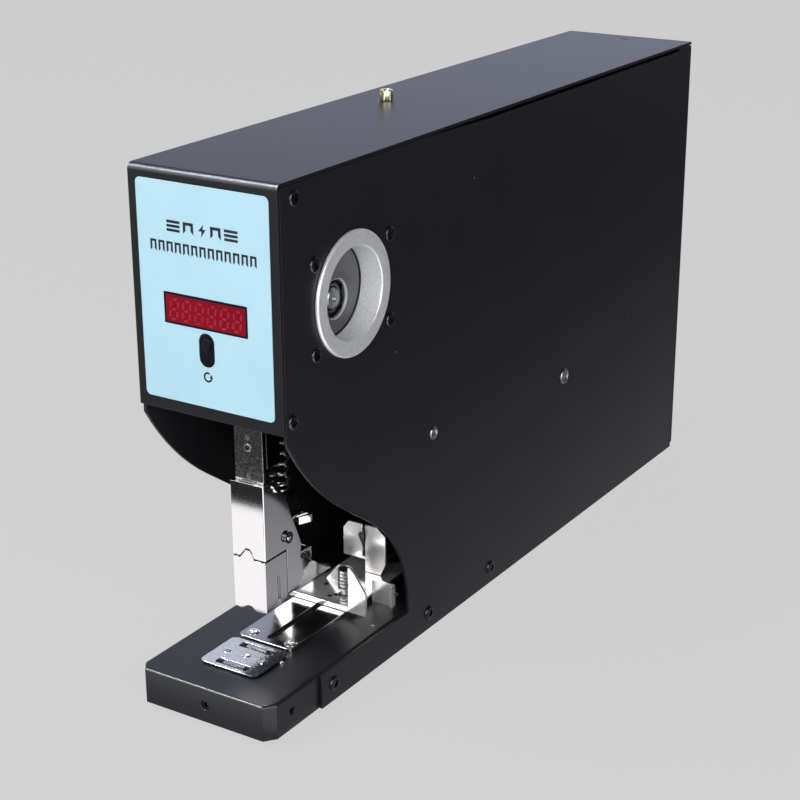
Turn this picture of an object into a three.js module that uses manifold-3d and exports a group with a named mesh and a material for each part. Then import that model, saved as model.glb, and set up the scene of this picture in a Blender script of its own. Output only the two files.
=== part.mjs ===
// Electric stapler with a C-shaped throat, as a group of separate solids.
// Millimetres, +Z up, +X to the machine's right, the paper enters from -Y.
// Inside the group y = 0 is the front cover's face and z = 0 the underside of the base.
import * as THREE from 'three';
import { mergeVertices } from 'three/addons/utils/BufferGeometryUtils.js';
import Module from 'manifold-3d';

const wasm = await Module();
wasm.setup();

// ---- driving dimensions ----
const GAP = 0.3;                      // running gap between neighbouring pieces
const SHEET = 1.5;                    // casing sheet thickness
const HALF_W = 40;                    // half the casing's width
const INNER = HALF_W - SHEET;         // inner face of a side plate
const HEIGHT = 256;                   // top of the cover above the base's underside
const DEPTH = 413;                    // back panel's outer face
const NOSE_Y = -14.6;                 // front edge of the base block
const REAR_Y = 416.6;                 // rearmost point, the fuse holder's cap
const FOOT_H = 3;                     // height of the rubber feet
const BASE_T = 17.8;                  // thickness of the base block
const BASE_END = 195;                 // rear end of the base block
const FRONT_Z = 145;                  // lower edge of the front cover
const PLATE_TOP = 254.2;              // top edge of the side plates

const CUP = { y: 54, z: 195.6, r: 21.8, flange: 29.1 };   // shaft access cup in the right plate
const SHAFT = { y: 56, z: 190.7, r: 5 };                  // cam shaft
const BORE = SHAFT.r + 0.15;                              // bore of what sits on the shaft
const MODULE = 1.25;                                      // gear module
const GEAR_TEETH = 68;
const PINION_TEETH = 17;
const CENTRES = MODULE * (GEAR_TEETH + PINION_TEETH) / 2; // distance from shaft to pinion
const RAM_STROKE = 30;                                    // ram travel in half a turn of the cam
const CAM_R = 11;                                         // cam radius at rest
const ROLLER_R = 6;
const PITCH_R = CAM_R + ROLLER_R + 0.25;                  // shaft to roller centre at rest
const ROLLER_Z = SHAFT.z - PITCH_R;

const HEAD = { x: 9.35, y: 24, wall: 1.2, top: 105.6, split: 67.7, low: 41.4, gap: 0.5 };
const STRIP_Y = 26.3;                                     // front face of the ram strip
const ANVIL = { x: 16.6, y0: 4, y1: 31.3, top: 19.2 };
const RAIL = { x: 15.7, y0: 33, y1: 155, top: 20 };
const GAUGE_Y = 79.5;                                     // front face of the back gauge
const TIE_RODS = { main: [261.3, 93.2, 4], front: [123, 105.8, 3] };
const LABEL = { x: 35.6, z0: 150.6, z1: 250.5 };
const WINDOW = { x: 22.6, z0: 186.7, z1: 200.8 };
const RESET = { z: 180.3, z0: 169.7, z1: 184.9, r: 2.9 };

// ---- materials ----
const material = (color, roughness, metalness) =>
  new THREE.MeshStandardMaterial({ color, roughness, metalness });
const MAT = {
  black: material(0x17181b, 0.45, 0.3),
  base: material(0x1c1d21, 0.5, 0.3),
  nickel: material(0xd9dadc, 0.12, 1),
  steel: material(0x8f9398, 0.35, 1),
  darkSteel: material(0x2b2c2e, 0.45, 0.8),
  aluminium: material(0xb9bbbe, 0.38, 1),
  brass: material(0xc9a55a, 0.3, 1),
  rubber: material(0x121212, 0.9, 0),
  label: material(0xbfe6f6, 0.4, 0),
  window: material(0xa8102a, 0.15, 0),
  plastic: material(0x1a1a1c, 0.5, 0),
  board: material(0x1f5a36, 0.5, 0),
  winding: material(0xa0602a, 0.5, 0.3),
};

// ---- geometry helpers ----
const stapler = new THREE.Group();

function add(name, mat, geometry) {
  const mesh = new THREE.Mesh(geometry, mat);
  mesh.name = name;
  stapler.add(mesh);
}

function box([x0, x1], [y0, y1], [z0, z1]) {
  const geometry = new THREE.BoxGeometry(x1 - x0, y1 - y0, z1 - z0);
  return geometry.translate((x0 + x1) / 2, (y0 + y1) / 2, (z0 + z1) / 2);
}

const points = (list) => list.map(([u, v]) => new THREE.Vector2(u, v));

function extrude(outline, depth, holes = []) {
  const shape = new THREE.Shape(points(outline));
  shape.holes = holes.map((hole) => new THREE.Path(points(hole)));
  return new THREE.ExtrudeGeometry(shape, { depth, bevelEnabled: false });
}

// An outline in (y, z) made solid from x0 to x1.
function alongX(outline, x0, x1, holes) {
  const geometry = extrude(outline, x1 - x0, holes);
  const turn = new THREE.Matrix4().makeBasis(
    new THREE.Vector3(0, 1, 0), new THREE.Vector3(0, 0, 1), new THREE.Vector3(1, 0, 0));
  return geometry.applyMatrix4(turn).translate(x0, 0, 0);
}

// An outline in (x, z) made solid from y0 to y1.
function alongY(outline, y0, y1, holes) {
  return extrude(outline, y1 - y0, holes).rotateX(Math.PI / 2).translate(0, y1, 0);
}

// An outline in (x, y) made solid from z0 to z1.
function alongZ(outline, z0, z1, holes) {
  return extrude(outline, z1 - z0, holes).translate(0, 0, z0);
}

function arc(cu, cv, r, from, to, steps) {
  return Array.from({ length: steps + 1 }, (_, i) => {
    const a = from + (to - from) * i / steps;
    return [cu + r * Math.cos(a), cv + r * Math.sin(a)];
  });
}

const circle = (cu, cv, r, steps = 24) => arc(cu, cv, r, 0, 2 * Math.PI, steps).slice(0, -1);

function roundedRect(u0, u1, v0, v1, r, steps = 3) {
  const q = Math.PI / 2;
  return [
    ...arc(u1 - r, v0 + r, r, -q, 0, steps), ...arc(u1 - r, v1 - r, r, 0, q, steps),
    ...arc(u0 + r, v1 - r, r, q, 2 * q, steps), ...arc(u0 + r, v0 + r, r, 2 * q, 3 * q, steps),
  ];
}

// A turned piece about an X axis through (y, z): the profile is a closed list of (radius, x).
function turned(profile, y, z, steps = 32) {
  const geometry = new THREE.LatheGeometry(points(profile), steps);
  return geometry.rotateZ(-Math.PI / 2).translate(0, y, z);
}

const ring = (inner, outer, x0, x1) =>
  [[inner, x0], [outer, x0], [outer, x1], [inner, x1], [inner, x0]];

const rod = (r, x0, x1) => [[0, x0], [r, x0], [r, x1], [0, x1]];

function solid(geometry) {
  const bare = geometry.clone();
  bare.deleteAttribute('normal');
  bare.deleteAttribute('uv');
  const merged = mergeVertices(bare, 1e-4);
  return new wasm.Manifold(new wasm.Mesh({
    numProp: 3,
    vertProperties: new Float32Array(merged.attributes.position.array),
    triVerts: new Uint32Array(merged.index.array),
  }));
}

function geometryOf(manifold) {
  const mesh = manifold.getMesh();
  const geometry = new THREE.BufferGeometry();
  geometry.setAttribute('position', new THREE.BufferAttribute(mesh.vertProperties, 3));
  geometry.setIndex(new THREE.BufferAttribute(mesh.triVerts, 1));
  return geometry;
}

function join(...pieces) {
  return geometryOf(pieces.map(solid).reduce((sum, piece) => sum.add(piece)));
}

function cut(from, ...tools) {
  return geometryOf(tools.map(solid).reduce((rest, tool) => rest.subtract(tool), solid(from)));
}

// A coil of round wire about a line through (x, y, z) along dir.
class Helix extends THREE.Curve {
  constructor(radius, length, turns, place) {
    super();
    Object.assign(this, { radius, length, turns, place });
  }

  getPoint(t, target = new THREE.Vector3()) {
    const a = 2 * Math.PI * this.turns * t;
    target.set(this.radius * Math.cos(a), this.radius * Math.sin(a), this.length * t);
    return target.applyMatrix4(this.place);
  }
}

function coil(radius, wire, length, turns, place) {
  const stepsPerTurn = 9;
  const section = new THREE.Shape(points(circle(0, 0, wire / 2, 5)));
  return new THREE.ExtrudeGeometry(section, {
    steps: turns * stepsPerTurn,
    bevelEnabled: false,
    extrudePath: new Helix(radius, length, turns, place),
  });
}

// ---- casing ----

// The throat's edge in (y, z), from under the front cover down to the base block.
function throatEdge() {
  const start = [SHEET + GAP, 140.5];
  const elbow = [44.5, 94.5];
  const bulge = { y: 30, z: 19.4, r: 70 };
  const slope = 55.4 * Math.PI / 180;           // direction of the straight stretch's normal
  const normal = [Math.cos(slope), Math.sin(slope)];
  const chord = [start[0] - elbow[0], start[1] - elbow[1]];
  const along = chord[0] * normal[0] + chord[1] * normal[1];
  const r = (chord[0] ** 2 + chord[1] ** 2) / (2 * along);
  const centre = [elbow[0] + r * normal[0], elbow[1] + r * normal[1]];
  const angle = ([y, z]) => Math.atan2(z - centre[1], y - centre[0]);
  const turnTo = (a) => (a > 0 ? a - 2 * Math.PI : a);
  return [
    ...arc(centre[0], centre[1], r, turnTo(angle(start)), turnTo(angle(elbow)), 8),
    ...arc(bulge.y, bulge.z, bulge.r, slope, 0, 8),
    [bulge.y + bulge.r, BASE_T - GAP],
  ];
}

// A side plate whose lower arm covers the base block from armFront to the rear.
function sidePlate(holes, x0, armFront) {
  const rear = DEPTH - SHEET - GAP;
  const dip = 1.6;
  const outline = [
    [SHEET + GAP + 1.5, PLATE_TOP], [SHEET + GAP, PLATE_TOP - dip], ...throatEdge(),
    [armFront, BASE_T - GAP], [armFront, 0], [rear, 0], [rear, PLATE_TOP], [rear - 14, PLATE_TOP],
    [rear - 14, PLATE_TOP - dip], [175, PLATE_TOP - dip], [115, PLATE_TOP],
  ];
  return alongX(outline, x0, x0 + SHEET, holes);
}

function casing() {
  const rodHoles = Object.values(TIE_RODS).map(([y, z, r]) => circle(y, z, r + GAP, 16));
  const cupHole = circle(CUP.y, CUP.z, CUP.r + 2.2, 32);
  const bearingHole = circle(SHAFT.y, SHAFT.z, 11 + GAP, 24);
  add('right_side_plate', MAT.black, sidePlate([...rodHoles, cupHole], INNER, 24));
  add('left_side_plate', MAT.black, sidePlate([...rodHoles, bearingHole], -HALF_W, 82));

  const bend = 3;
  const profile = [
    [0, FRONT_Z], [SHEET, FRONT_Z],
    ...arc(bend, HEIGHT - bend, bend - SHEET, Math.PI, Math.PI / 2, 3),
    [DEPTH, HEIGHT - SHEET], [DEPTH, HEIGHT],
    ...arc(bend, HEIGHT - bend, bend, Math.PI / 2, Math.PI, 5),
  ];
  const windowHole = box([-WINDOW.x + 0.4, WINDOW.x - 0.4], [-1, 2], [WINDOW.z0 + 0.3, WINDOW.z1 - 0.3]);
  const resetHole = turned(rod(RESET.r + 0.4, -3, 3), 0, 0).rotateZ(Math.PI / 2);
  add('front_top_cover', MAT.black,
    cut(alongX(profile, -HALF_W, HALF_W), windowHole, resetHole.translate(0, 0, RESET.z)));

  const ventSlots = Array.from({ length: 6 }, (_, i) => {
    const z = 180 + 8 * i;
    return roundedRect(-20, 20, z, z + 3, 1.4);
  });
  const inletHole = roundedRect(-29, -1, 30, 51, 2);
  const switchHole = roundedRect(7.4, 21.2, 30, 51, 0.8);
  const roundHoles = [-15, 14.3].map((x) => circle(x, 78, 6.3, 20));
  add('back_panel', MAT.black, alongY(
    roundedRect(-HALF_W, HALF_W, SHEET + GAP, HEIGHT - SHEET - GAP, 1.5), DEPTH - SHEET, DEPTH,
    [...ventSlots, inletHole, switchHole, ...roundHoles]));

  const side = INNER - GAP / 3;
  const nose = [[side, -9], [side - 4.4, NOSE_Y], [-side + 4.4, NOSE_Y], [-side, -9]];
  const blank = alongZ([...nose, [-side, BASE_END], [side, BASE_END]], 0, BASE_T);
  const frontTap = new THREE.CylinderGeometry(2.4, 2.4, 24, 12).translate(1.3, NOSE_Y, 8.9);
  const sideTaps = turned(rod(2, 30, 45), 2.4, 9.3, 12);
  add('base_block', MAT.base, cut(blank, frontTap, sideTaps));
  add('rear_floor_plate', MAT.black,
    box([-side, side], [BASE_END + 0.5, DEPTH - SHEET - GAP], [0, SHEET]));

  const foot = (y) => alongZ(roundedRect(-30, 30, y - 7, y + 7, 6.5, 5), -FOOT_H, -0.02);
  add('front_foot', MAT.rubber, foot(7));
  add('rear_foot', MAT.rubber, foot(390));

  for (const [name, [y, z, r]] of Object.entries(TIE_RODS)) {
    add(`${name}_tie_rod`, MAT.steel, turned(rod(r, -HALF_W + 0.1, HALF_W - 0.1), y, z, 20));
  }
  const post = new THREE.CylinderGeometry(3.6, 3.6, 5.4, 6).rotateX(Math.PI / 2);
  add('brass_post', MAT.brass, post.translate(-18, 172, HEIGHT + 2.75));
}

// ---- front panel: label, counter and reset button ----
function frontPanel() {
  const windowCut = roundedRect(-WINDOW.x - 0.2, WINDOW.x + 0.2, WINDOW.z0 - 0.2, WINDOW.z1 + 0.2, 0.5, 2);
  const bezelHalf = 4;
  const slotCut = roundedRect(-bezelHalf - 0.2, bezelHalf + 0.2, RESET.z0 - 0.2, RESET.z1 + 0.2, 4, 6);
  add('label_panel', MAT.label, alongY(
    roundedRect(-LABEL.x, LABEL.x, LABEL.z0, LABEL.z1, 2.5, 4), -0.35, -0.02, [windowCut, slotCut]));
  add('display_window', MAT.window,
    alongY(roundedRect(-WINDOW.x, WINDOW.x, WINDOW.z0, WINDOW.z1, 0.4, 2), -0.45, -0.02));
  add('display_module', MAT.plastic, box([-22.4, 22.4], [1.8, 8.2], [186.9, 200.7]));
  add('front_circuit_board', MAT.board, box([-30, 30], [8.5, 10.1], [158, 214]));
  add('reset_bezel', MAT.plastic, alongY(
    roundedRect(-bezelHalf, bezelHalf, RESET.z0, RESET.z1, 3.9, 6), -0.6, -0.02,
    [circle(0, RESET.z, RESET.r + 0.25)]));
  const button = new THREE.CylinderGeometry(RESET.r, RESET.r, 7.4, 24);
  add('reset_button', MAT.plastic, button.translate(0, 2.7, RESET.z));
}

// ---- drive: motor, gears, shaft and cam ----

// Spur gear outline with involute flanks, a tooth centred on direction 0.
function gearOutline(teeth, phase) {
  const pressure = 20 * Math.PI / 180;
  const pitch = MODULE * teeth / 2;
  const baseR = pitch * Math.cos(pressure);
  const involute = (r) => {
    const a = Math.acos(Math.min(1, baseR / r));
    return Math.tan(a) - a;
  };
  const backlash = 0.16;
  const halfPitch = Math.PI / (2 * teeth) - backlash / (2 * pitch);
  const rootR = pitch - 1.3 * MODULE;
  const tipR = pitch + 0.9 * MODULE;
  const flank = [rootR, pitch, tipR].map((r) =>
    [r, halfPitch + involute(pitch) - involute(Math.max(r, baseR))]);
  const outline = [];
  for (let i = 0; i < teeth; i += 1) {
    const centre = phase + 2 * Math.PI * i / teeth;
    const rising = flank.map(([r, wide]) => [r, centre - wide]);
    const falling = flank.map(([r, wide]) => [r, centre + wide]).reverse();
    for (const [r, a] of [...rising, ...falling]) {
      outline.push([r * Math.cos(a), r * Math.sin(a)]);
    }
  }
  return outline;
}

const shifted = (outline, u, v) => outline.map(([a, b]) => [a + u, b + v]);

// Heart cam whose roller centre moves away in proportion to the angle, for half a turn each way.
function camOutline() {
  const steps = 30;
  const rise = RAM_STROKE / Math.PI;
  const half = [];
  for (let i = 0; i <= steps; i += 1) {
    const t = Math.PI * i / steps;
    const r = PITCH_R + rise * t;
    const length = Math.hypot(r, rise);
    const reach = ROLLER_R + 0.25;
    const radial = r - reach * r / length;
    const ahead = reach * rise / length;
    const a = t + Math.atan2(ahead, radial);
    if (a < Math.PI - 0.01) half.push([Math.hypot(radial, ahead), a]);
  }
  half.push([half[half.length - 1][0] + 0.3, Math.PI]);
  // Angle 0 points down to the roller, and the valley between the halves follows the roller.
  const down = -Math.PI / 2;
  const side = (sign) => half.map(([r, a]) => [r * Math.cos(down + sign * a), r * Math.sin(down + sign * a)]);
  const valley = [0, -(PITCH_R - ROLLER_R - 0.25)];
  const left = side(-1).reverse().slice(1);
  return [...left, valley, ...side(1)];
}

function drive() {
  const wall = 1.4;
  const depth = 12.4;
  const face = HALF_W + 1.8;
  const dish = turned([
    [0, face - depth - wall], [CUP.r + wall, face - depth - wall], [CUP.r + wall, HALF_W + GAP],
    [CUP.flange, HALF_W + GAP], [CUP.flange, face - 0.5], [CUP.flange - 0.5, face],
    [CUP.r, face], [CUP.r, face - depth], [0, face - depth],
  ], CUP.y, CUP.z, 48);
  const sight = turned(rod(9.2, 20, 35), SHAFT.y, SHAFT.z, 28);
  add('shaft_access_cup', MAT.aluminium, cut(dish, sight));

  const at = (profile, steps) => turned(profile, SHAFT.y, SHAFT.z, steps);
  add('cam_shaft', MAT.steel, at(rod(SHAFT.r, -37, 28.6), 28));
  const hex = shifted(circle(0, 0, 8.1, 6), SHAFT.y, SHAFT.z);
  const bore = [circle(SHAFT.y, SHAFT.z, BORE, 28)];
  add('shaft_nut', MAT.darkSteel, alongX(hex, 23.4, 27.4, bore));
  add('drive_cam', MAT.steel, alongX(shifted(camOutline(), SHAFT.y, SHAFT.z), -4, 4, bore));
  add('drive_gear', MAT.steel,
    alongX(shifted(gearOutline(GEAR_TEETH, 0), SHAFT.y, SHAFT.z), 9, 16, bore));
  const pinionY = SHAFT.y + CENTRES;
  const gapPhase = Math.PI + Math.PI / PINION_TEETH;
  add('motor_pinion', MAT.brass, join(
    alongX(shifted(gearOutline(PINION_TEETH, gapPhase), pinionY, SHAFT.z), 8.6, 16.4),
    turned(rod(3, 5.6, 17.6), pinionY, SHAFT.z, 16)));

  const motorR = 25;
  add('gear_motor', MAT.darkSteel, join(
    turned(rod(motorR, -36, 3), pinionY, SHAFT.z, 36),
    alongX(roundedRect(pinionY - motorR, pinionY + 36, 163, 218, 4), 2.4, 5.2)));

  const plate = alongX(roundedRect(18, 149, 164, 226, 6), 18.6, 22,
    [circle(SHAFT.y, SHAFT.z, 11 + GAP, 24)]);
  const posts = [25.4, 84.7].flatMap((y) => [174.9, 215.8].map((z) =>
    turned(rod(5, 20, INNER - GAP), y, z, 14)));
  const motorPosts = [169, 212].map((z) => turned(rod(4, 5.4, 20), 140, z, 12));
  add('motor_bracket', MAT.steel, join(plate, ...posts, ...motorPosts));
  add('right_bearing', MAT.steel, at(ring(BORE, 11, 18, 22.6), 28));
  add('left_bearing', MAT.steel, at([
    [0, -HALF_W - 1.8], [13.5, -HALF_W - 1.8], [13.5, -HALF_W - GAP], [11, -HALF_W - GAP],
    [11, -32], [BORE, -32], [BORE, -37.5], [0, -37.5],
  ], 28));
}

// ---- ram: block, roller, strip and driver blade ----
function ram() {
  const cheek = (x0, x1) => box([x0, x1], [39, 64], [160, 180]);
  add('ram_block', MAT.darkSteel, join(
    box([-8, 8], [STRIP_Y + 3.3, 40], [112, 170]),
    cheek(-8, -4.6), cheek(4.6, 8),
    box([-8, 8], [39, 60], [157, 161]),
    turned(rod(2.5, -7.9, 7.9), SHAFT.y, ROLLER_Z, 16)));
  add('cam_roller', MAT.steel, turned(ring(2.65, ROLLER_R, -3.8, 3.8), SHAFT.y, ROLLER_Z, 28));
  add('ram_strip', MAT.steel, box([-8.1, 8.1], [STRIP_Y, STRIP_Y + 3], [78, 165]));
  add('driver_blade', MAT.steel, box([-6.4, 6.4], [27.7, 28.5], [50.5, 77.7]));
  add('ram_guide_right', MAT.darkSteel, box([8.4, INNER - GAP], [26, 46], [138, 145]));
  add('ram_guide_left', MAT.darkSteel, box([-INNER + GAP, -8.4], [26, 46], [138, 145]));
  const seat = 93.9;
  const place = new THREE.Matrix4().makeTranslation(0, 49.5, seat);
  add('ram_spring', MAT.steel, coil(4.4, 1.2, 62.1, 12, place));
}

// ---- head: covers, magazine and staples ----

// Edge of the notch in the covers' front, at height z, from x = -5.3 to x = 2.8.
const notch = (z, rise) => [
  [-5.3, z], [-3.6, z + 0.5 * rise], [-1.9, z + rise], [0.4, z + rise], [1.8, z + 0.6 * rise], [2.8, z],
];

function head() {
  const { x, y, wall, top, split, low, gap } = HEAD;
  const cheekOutline = [
    [y, split + gap], [y + 17.2, split + gap], [y + 17.2, 45], [54.3, 48.5], [51.7, 59.5],
    [52.6, 66.5], [50.6, 72], [47.8, 78.2], [45, 84], [43.5, 89], [41.5, 93.5], [38, 98.5],
    [34, top], [y, top],
  ];
  const pinHole = turned(rod(2.4, -20, 20), 41.5, 74.2, 16);
  const inside = [-x + wall, x - wall];
  const hollow = box(inside, [y + wall, 70], [30, top - wall]);
  const ramMouth = box(inside, [STRIP_Y - GAP, 70], [top - 2 * wall, 120]);
  const rimSlot = box([-5.3, 3.5], [y + 0.6, y + 1.6], [top - 2 * wall, 120]);
  const upperNotch = alongY(
    [[-5.3, split - 1], ...notch(split + gap, 4.4), [2.8, split - 1]], y - 1, y + wall + 1);
  add('head_upper_cover', MAT.nickel,
    cut(alongX(cheekOutline, -x, x), hollow, ramMouth, rimSlot, upperNotch, pinHole));

  const front = [
    [-x, low], ...notch(low - 0.5, 2.2), [x, low], [x, split - gap],
    ...notch(split - gap, 4.4).reverse(), [-x, split - gap],
  ];
  const flank = (x0, x1) => cut(
    box([x0, x1], [y + 0.5, y + 16.6], [low + 1.2, split - gap]),
    box([-20, 20], [y + 8.7, y + 11.1], [30, 56.6]));
  add('head_lower_cover', MAT.nickel, join(
    alongY(front, y, y + wall), flank(-x, -x + wall), flank(x - wall, x)));

  add('head_block', MAT.darkSteel, box([-7.9, 7.9], [31, 54.5], [84, 93]));
  add('head_pin', MAT.steel, turned([
    [0, -10.7], [2.6, -10.7], [2.6, -x - 0.15], [2.1, -x - 0.15], [2.1, x + 0.15], [2.6, x + 0.15],
    [2.6, 10.7], [0, 10.7],
  ], 41.5, 74.2, 20));

  const floor = 44.2;
  const magazineSide = [
    [30.6, 43], [78.5, 42.6], [78.5, 44.6], [70, 49], [56, 57], [50, 61], [30.6, 61],
  ];
  add('magazine', MAT.nickel, join(
    cut(alongX(magazineSide, -7.9, 7.9), box([-6.9, 6.9], [20, 90], [floor, 70])),
    box([-3.2, 3.2], [68.4, 69.6], [43.4, 57])));
  const foot = floor + GAP;
  const arch = (w, z1, t) => [
    [-w, foot], [-w + t, foot], [-w + t, z1 - t], [w - t, z1 - t], [w - t, foot], [w, foot], [w, z1], [-w, z1],
  ];
  add('staple_strip', MAT.steel, alongY(arch(6.5, 52.5, 0.7), 30.9, 47.8));
  add('staple_pusher', MAT.darkSteel, join(
    alongY(arch(6.5, 54, 1.5), 48.1, 56), box([-3, 3], [49, 55], [53.5, 66])));
  const back = new THREE.Matrix4().makeRotationX(-Math.PI / 2).setPosition(0, 56.6, 50.5);
  add('pusher_spring', MAT.steel, coil(3.2, 0.8, 11.2, 6, back));
  add('magazine_latch', MAT.nickel, join(
    box([5.9, 7.5], [46, 57.4], [77.6, 81.3]), box([5.9, 12.2], [56.4, 57.4], [77.6, 81.3]),
    alongZ([[9.6, 49.8], [10.6, 49.8], [13, 55.2], [13, 57.4], [11.6, 57.4]], 77.6, 81.3)));
}

// ---- anvil, rail and back gauge on the base block ----
function bed() {
  const pocket = (y) => box([-9.4, 9], [y - 1.8, y + 1.8], [ANVIL.top - 0.8, ANVIL.top + 1]);
  const blank = alongZ(roundedRect(-ANVIL.x, ANVIL.x, ANVIL.y0, ANVIL.y1, 3.2), BASE_T + 0.1, ANVIL.top);
  add('anvil_plate', MAT.nickel, cut(blank, pocket(8.4), pocket(26.4)));
  add('gauge_rail', MAT.nickel, alongZ(
    roundedRect(-RAIL.x, RAIL.x, RAIL.y0, RAIL.y1, 2.6), BASE_T + 0.1, RAIL.top,
    [roundedRect(-1.8, 1.8, 37, 151, 1.7)]));

  const ear = [[17.5, 22.9], [17.5, 44.5], [18.6, 44.4], [21.2, 41.5], [24.4, 37], [27.8, 32.2], [27.6, 20.4]];
  const mirrored = ear.map(([x, z]) => [-x, z]).reverse();
  const rear = 138;
  const upstand = [[-12.6, 21], [10.2, 21], [2, 31], [-4.5, 31]];
  add('gauge_carriage', MAT.nickel, join(
    alongY([...mirrored, ...ear].reverse(), GAUGE_Y, GAUGE_Y + 1.5),
    box([-15.6, 17.4], [GAUGE_Y + 1, rear], [20.4, 21.8]),
    alongY(upstand, 103, 104.5),
    box([-1.4, 1.4], [84, 132], [18.4, 21])));
  const stopTop = 48.1;
  const stop = [
    [1, 22.1], [10.4, 22.1], [13.4, 28.9], [13.4, 43.9], [8.2, stopTop], [1, stopTop], [1, 30.5],
    [-0.6, 30.5], [-0.6, stopTop], [-9.2, stopTop], [-12.4, 44.1], [-12.4, 29], [1, 29],
  ];
  add('gauge_back_stop', MAT.nickel, alongY(stop, 119.6, 121));
  add('paper_trigger', MAT.steel, alongX(
    [[123, 28], [129, 28], [129, 34], [125, 36], [117.5, 45], [115.5, 44], [121, 34]], -0.6, 0.6));
  add('trigger_switch', MAT.plastic, box([-4, 4], [130.2, 137], [22.1, 36]));

  const knob = [[0, 22.1], [3.7, 22.1], [3.7, 24.6], [2.4, 25], [2.4, 27], [3.7, 27.4], [3.7, 37.6], [3.1, 39], [0, 39]];
  const lock = new THREE.LatheGeometry(points(knob), 24).rotateX(Math.PI / 2);
  add('gauge_lock_screw', MAT.steel, lock.translate(9.4, 89, 0));

  for (const [name, sign] of [['right', 1], ['left', -1]]) {
    const span = (a, b) => [Math.min(sign * a, sign * b), Math.max(sign * a, sign * b)];
    add(`throat_bracket_${name}`, MAT.nickel, join(
      box(span(18.4, 31.2), [99.5, 101], [BASE_T + 0.1, 30]),
      box(span(30.2, 31.2), [97.6, 100.5], [BASE_T + 0.1, 30]),
      box(span(18.4, 26), [100, 112], [BASE_T + 0.1, 19.3])));
  }
}

// ---- electrics in the rear of the casing ----
function electrics() {
  add('control_board', MAT.board, box([-36.4, -34.8], [190, 300], [120, 210]));
  add('power_transformer', MAT.winding, join(
    box([-26, 26], [318, 362], [1.9, 46]), box([-17, 17], [306, 374], [10, 38])));
  const can = new THREE.CylinderGeometry(15, 15, 56, 24);
  add('run_capacitor', MAT.aluminium, can.translate(-18, 206, 84));
  const socketBody = join(
    alongY(roundedRect(-31, 1, 28, 53, 2.5), DEPTH + 0.05, DEPTH + 1.8),
    alongY(roundedRect(-28.5, -1.5, 30.5, 50.5, 2), DEPTH - 20, DEPTH + 1));
  add('power_inlet', MAT.plastic,
    cut(socketBody, alongY(roundedRect(-26, -4, 33, 48, 2.5), DEPTH - 14, DEPTH + 3)));
  const frame = join(
    alongY(roundedRect(6.3, 22.3, 28.5, 52.5, 1), DEPTH + 0.05, DEPTH + 1.6),
    alongY(roundedRect(7.8, 20.8, 30.5, 50.5, 0.6), DEPTH - 16, DEPTH + 1));
  add('power_switch_frame', MAT.plastic,
    cut(frame, box([9.2, 19.4], [DEPTH - 8, DEPTH + 3], [32, 49])));
  const pivot = DEPTH - 1;
  add('power_switch_rocker', MAT.plastic, alongX([
    [pivot + 3.9, 33.2], [pivot + 2.6, 40.5], [pivot + 1.6, 47.8], [pivot - 0.4, 47.9], [pivot - 3, 42],
    [pivot - 3, 39], [pivot + 1.2, 33.0],
  ], 9.6, 19));
  const turnedY = (profile, x, z) =>
    new THREE.LatheGeometry(points(profile), 24).translate(x, DEPTH, z);
  add('fuse_holder', MAT.plastic, turnedY([
    [0, -24], [5.9, -24], [5.9, 0.1], [8, 0.1], [8, 1.6], [6, 2.2], [6, REAR_Y - DEPTH], [0, REAR_Y - DEPTH],
  ], -15, 78));
  add('pedal_socket', MAT.steel, turnedY([
    [3.3, -10], [5.9, -10], [5.9, 0.1], [8, 0.1], [8, 2.2], [3.3, 2.2], [3.3, -10],
  ], 14.3, 78));
}

casing();
frontPanel();
drive();
ram();
head();
bed();
electrics();

// The record's origin is the middle of the footprint, on the surface the feet stand on.
stapler.position.set(0, -(NOSE_Y + REAR_Y) / 2, FOOT_H);

export default stapler;
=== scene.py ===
"""Looks of an electric stapler with a C-shaped throat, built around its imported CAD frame.

Blender's unit is the metre. The design's own numbers below are millimetres: x from the middle plane,
y back from the front cover's face, z up from the underside of the base. spot() puts them in the frame.
"""
import math

import bmesh
import bpy
from mathutils import Matrix, Vector

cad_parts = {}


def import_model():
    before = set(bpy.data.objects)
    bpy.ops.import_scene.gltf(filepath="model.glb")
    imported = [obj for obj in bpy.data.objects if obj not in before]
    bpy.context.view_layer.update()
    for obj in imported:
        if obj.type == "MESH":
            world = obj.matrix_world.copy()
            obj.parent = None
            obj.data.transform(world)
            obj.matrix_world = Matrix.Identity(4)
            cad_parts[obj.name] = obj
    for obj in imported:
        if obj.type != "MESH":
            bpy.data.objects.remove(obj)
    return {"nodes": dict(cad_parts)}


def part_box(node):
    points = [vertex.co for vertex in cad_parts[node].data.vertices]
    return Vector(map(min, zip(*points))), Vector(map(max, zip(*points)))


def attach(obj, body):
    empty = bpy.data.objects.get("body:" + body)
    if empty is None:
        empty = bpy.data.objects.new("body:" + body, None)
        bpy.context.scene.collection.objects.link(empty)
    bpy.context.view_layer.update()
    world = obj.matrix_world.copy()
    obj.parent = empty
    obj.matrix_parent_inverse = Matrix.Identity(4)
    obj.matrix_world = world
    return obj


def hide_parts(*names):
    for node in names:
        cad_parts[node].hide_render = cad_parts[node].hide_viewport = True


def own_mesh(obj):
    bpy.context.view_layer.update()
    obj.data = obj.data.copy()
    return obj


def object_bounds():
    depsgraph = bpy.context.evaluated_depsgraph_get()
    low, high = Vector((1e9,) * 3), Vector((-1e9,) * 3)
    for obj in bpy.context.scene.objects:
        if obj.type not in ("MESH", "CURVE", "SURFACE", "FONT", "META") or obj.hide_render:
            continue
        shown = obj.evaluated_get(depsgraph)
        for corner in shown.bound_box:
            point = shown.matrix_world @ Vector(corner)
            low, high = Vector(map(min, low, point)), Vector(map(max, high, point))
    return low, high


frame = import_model()
CAD_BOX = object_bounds()

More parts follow.
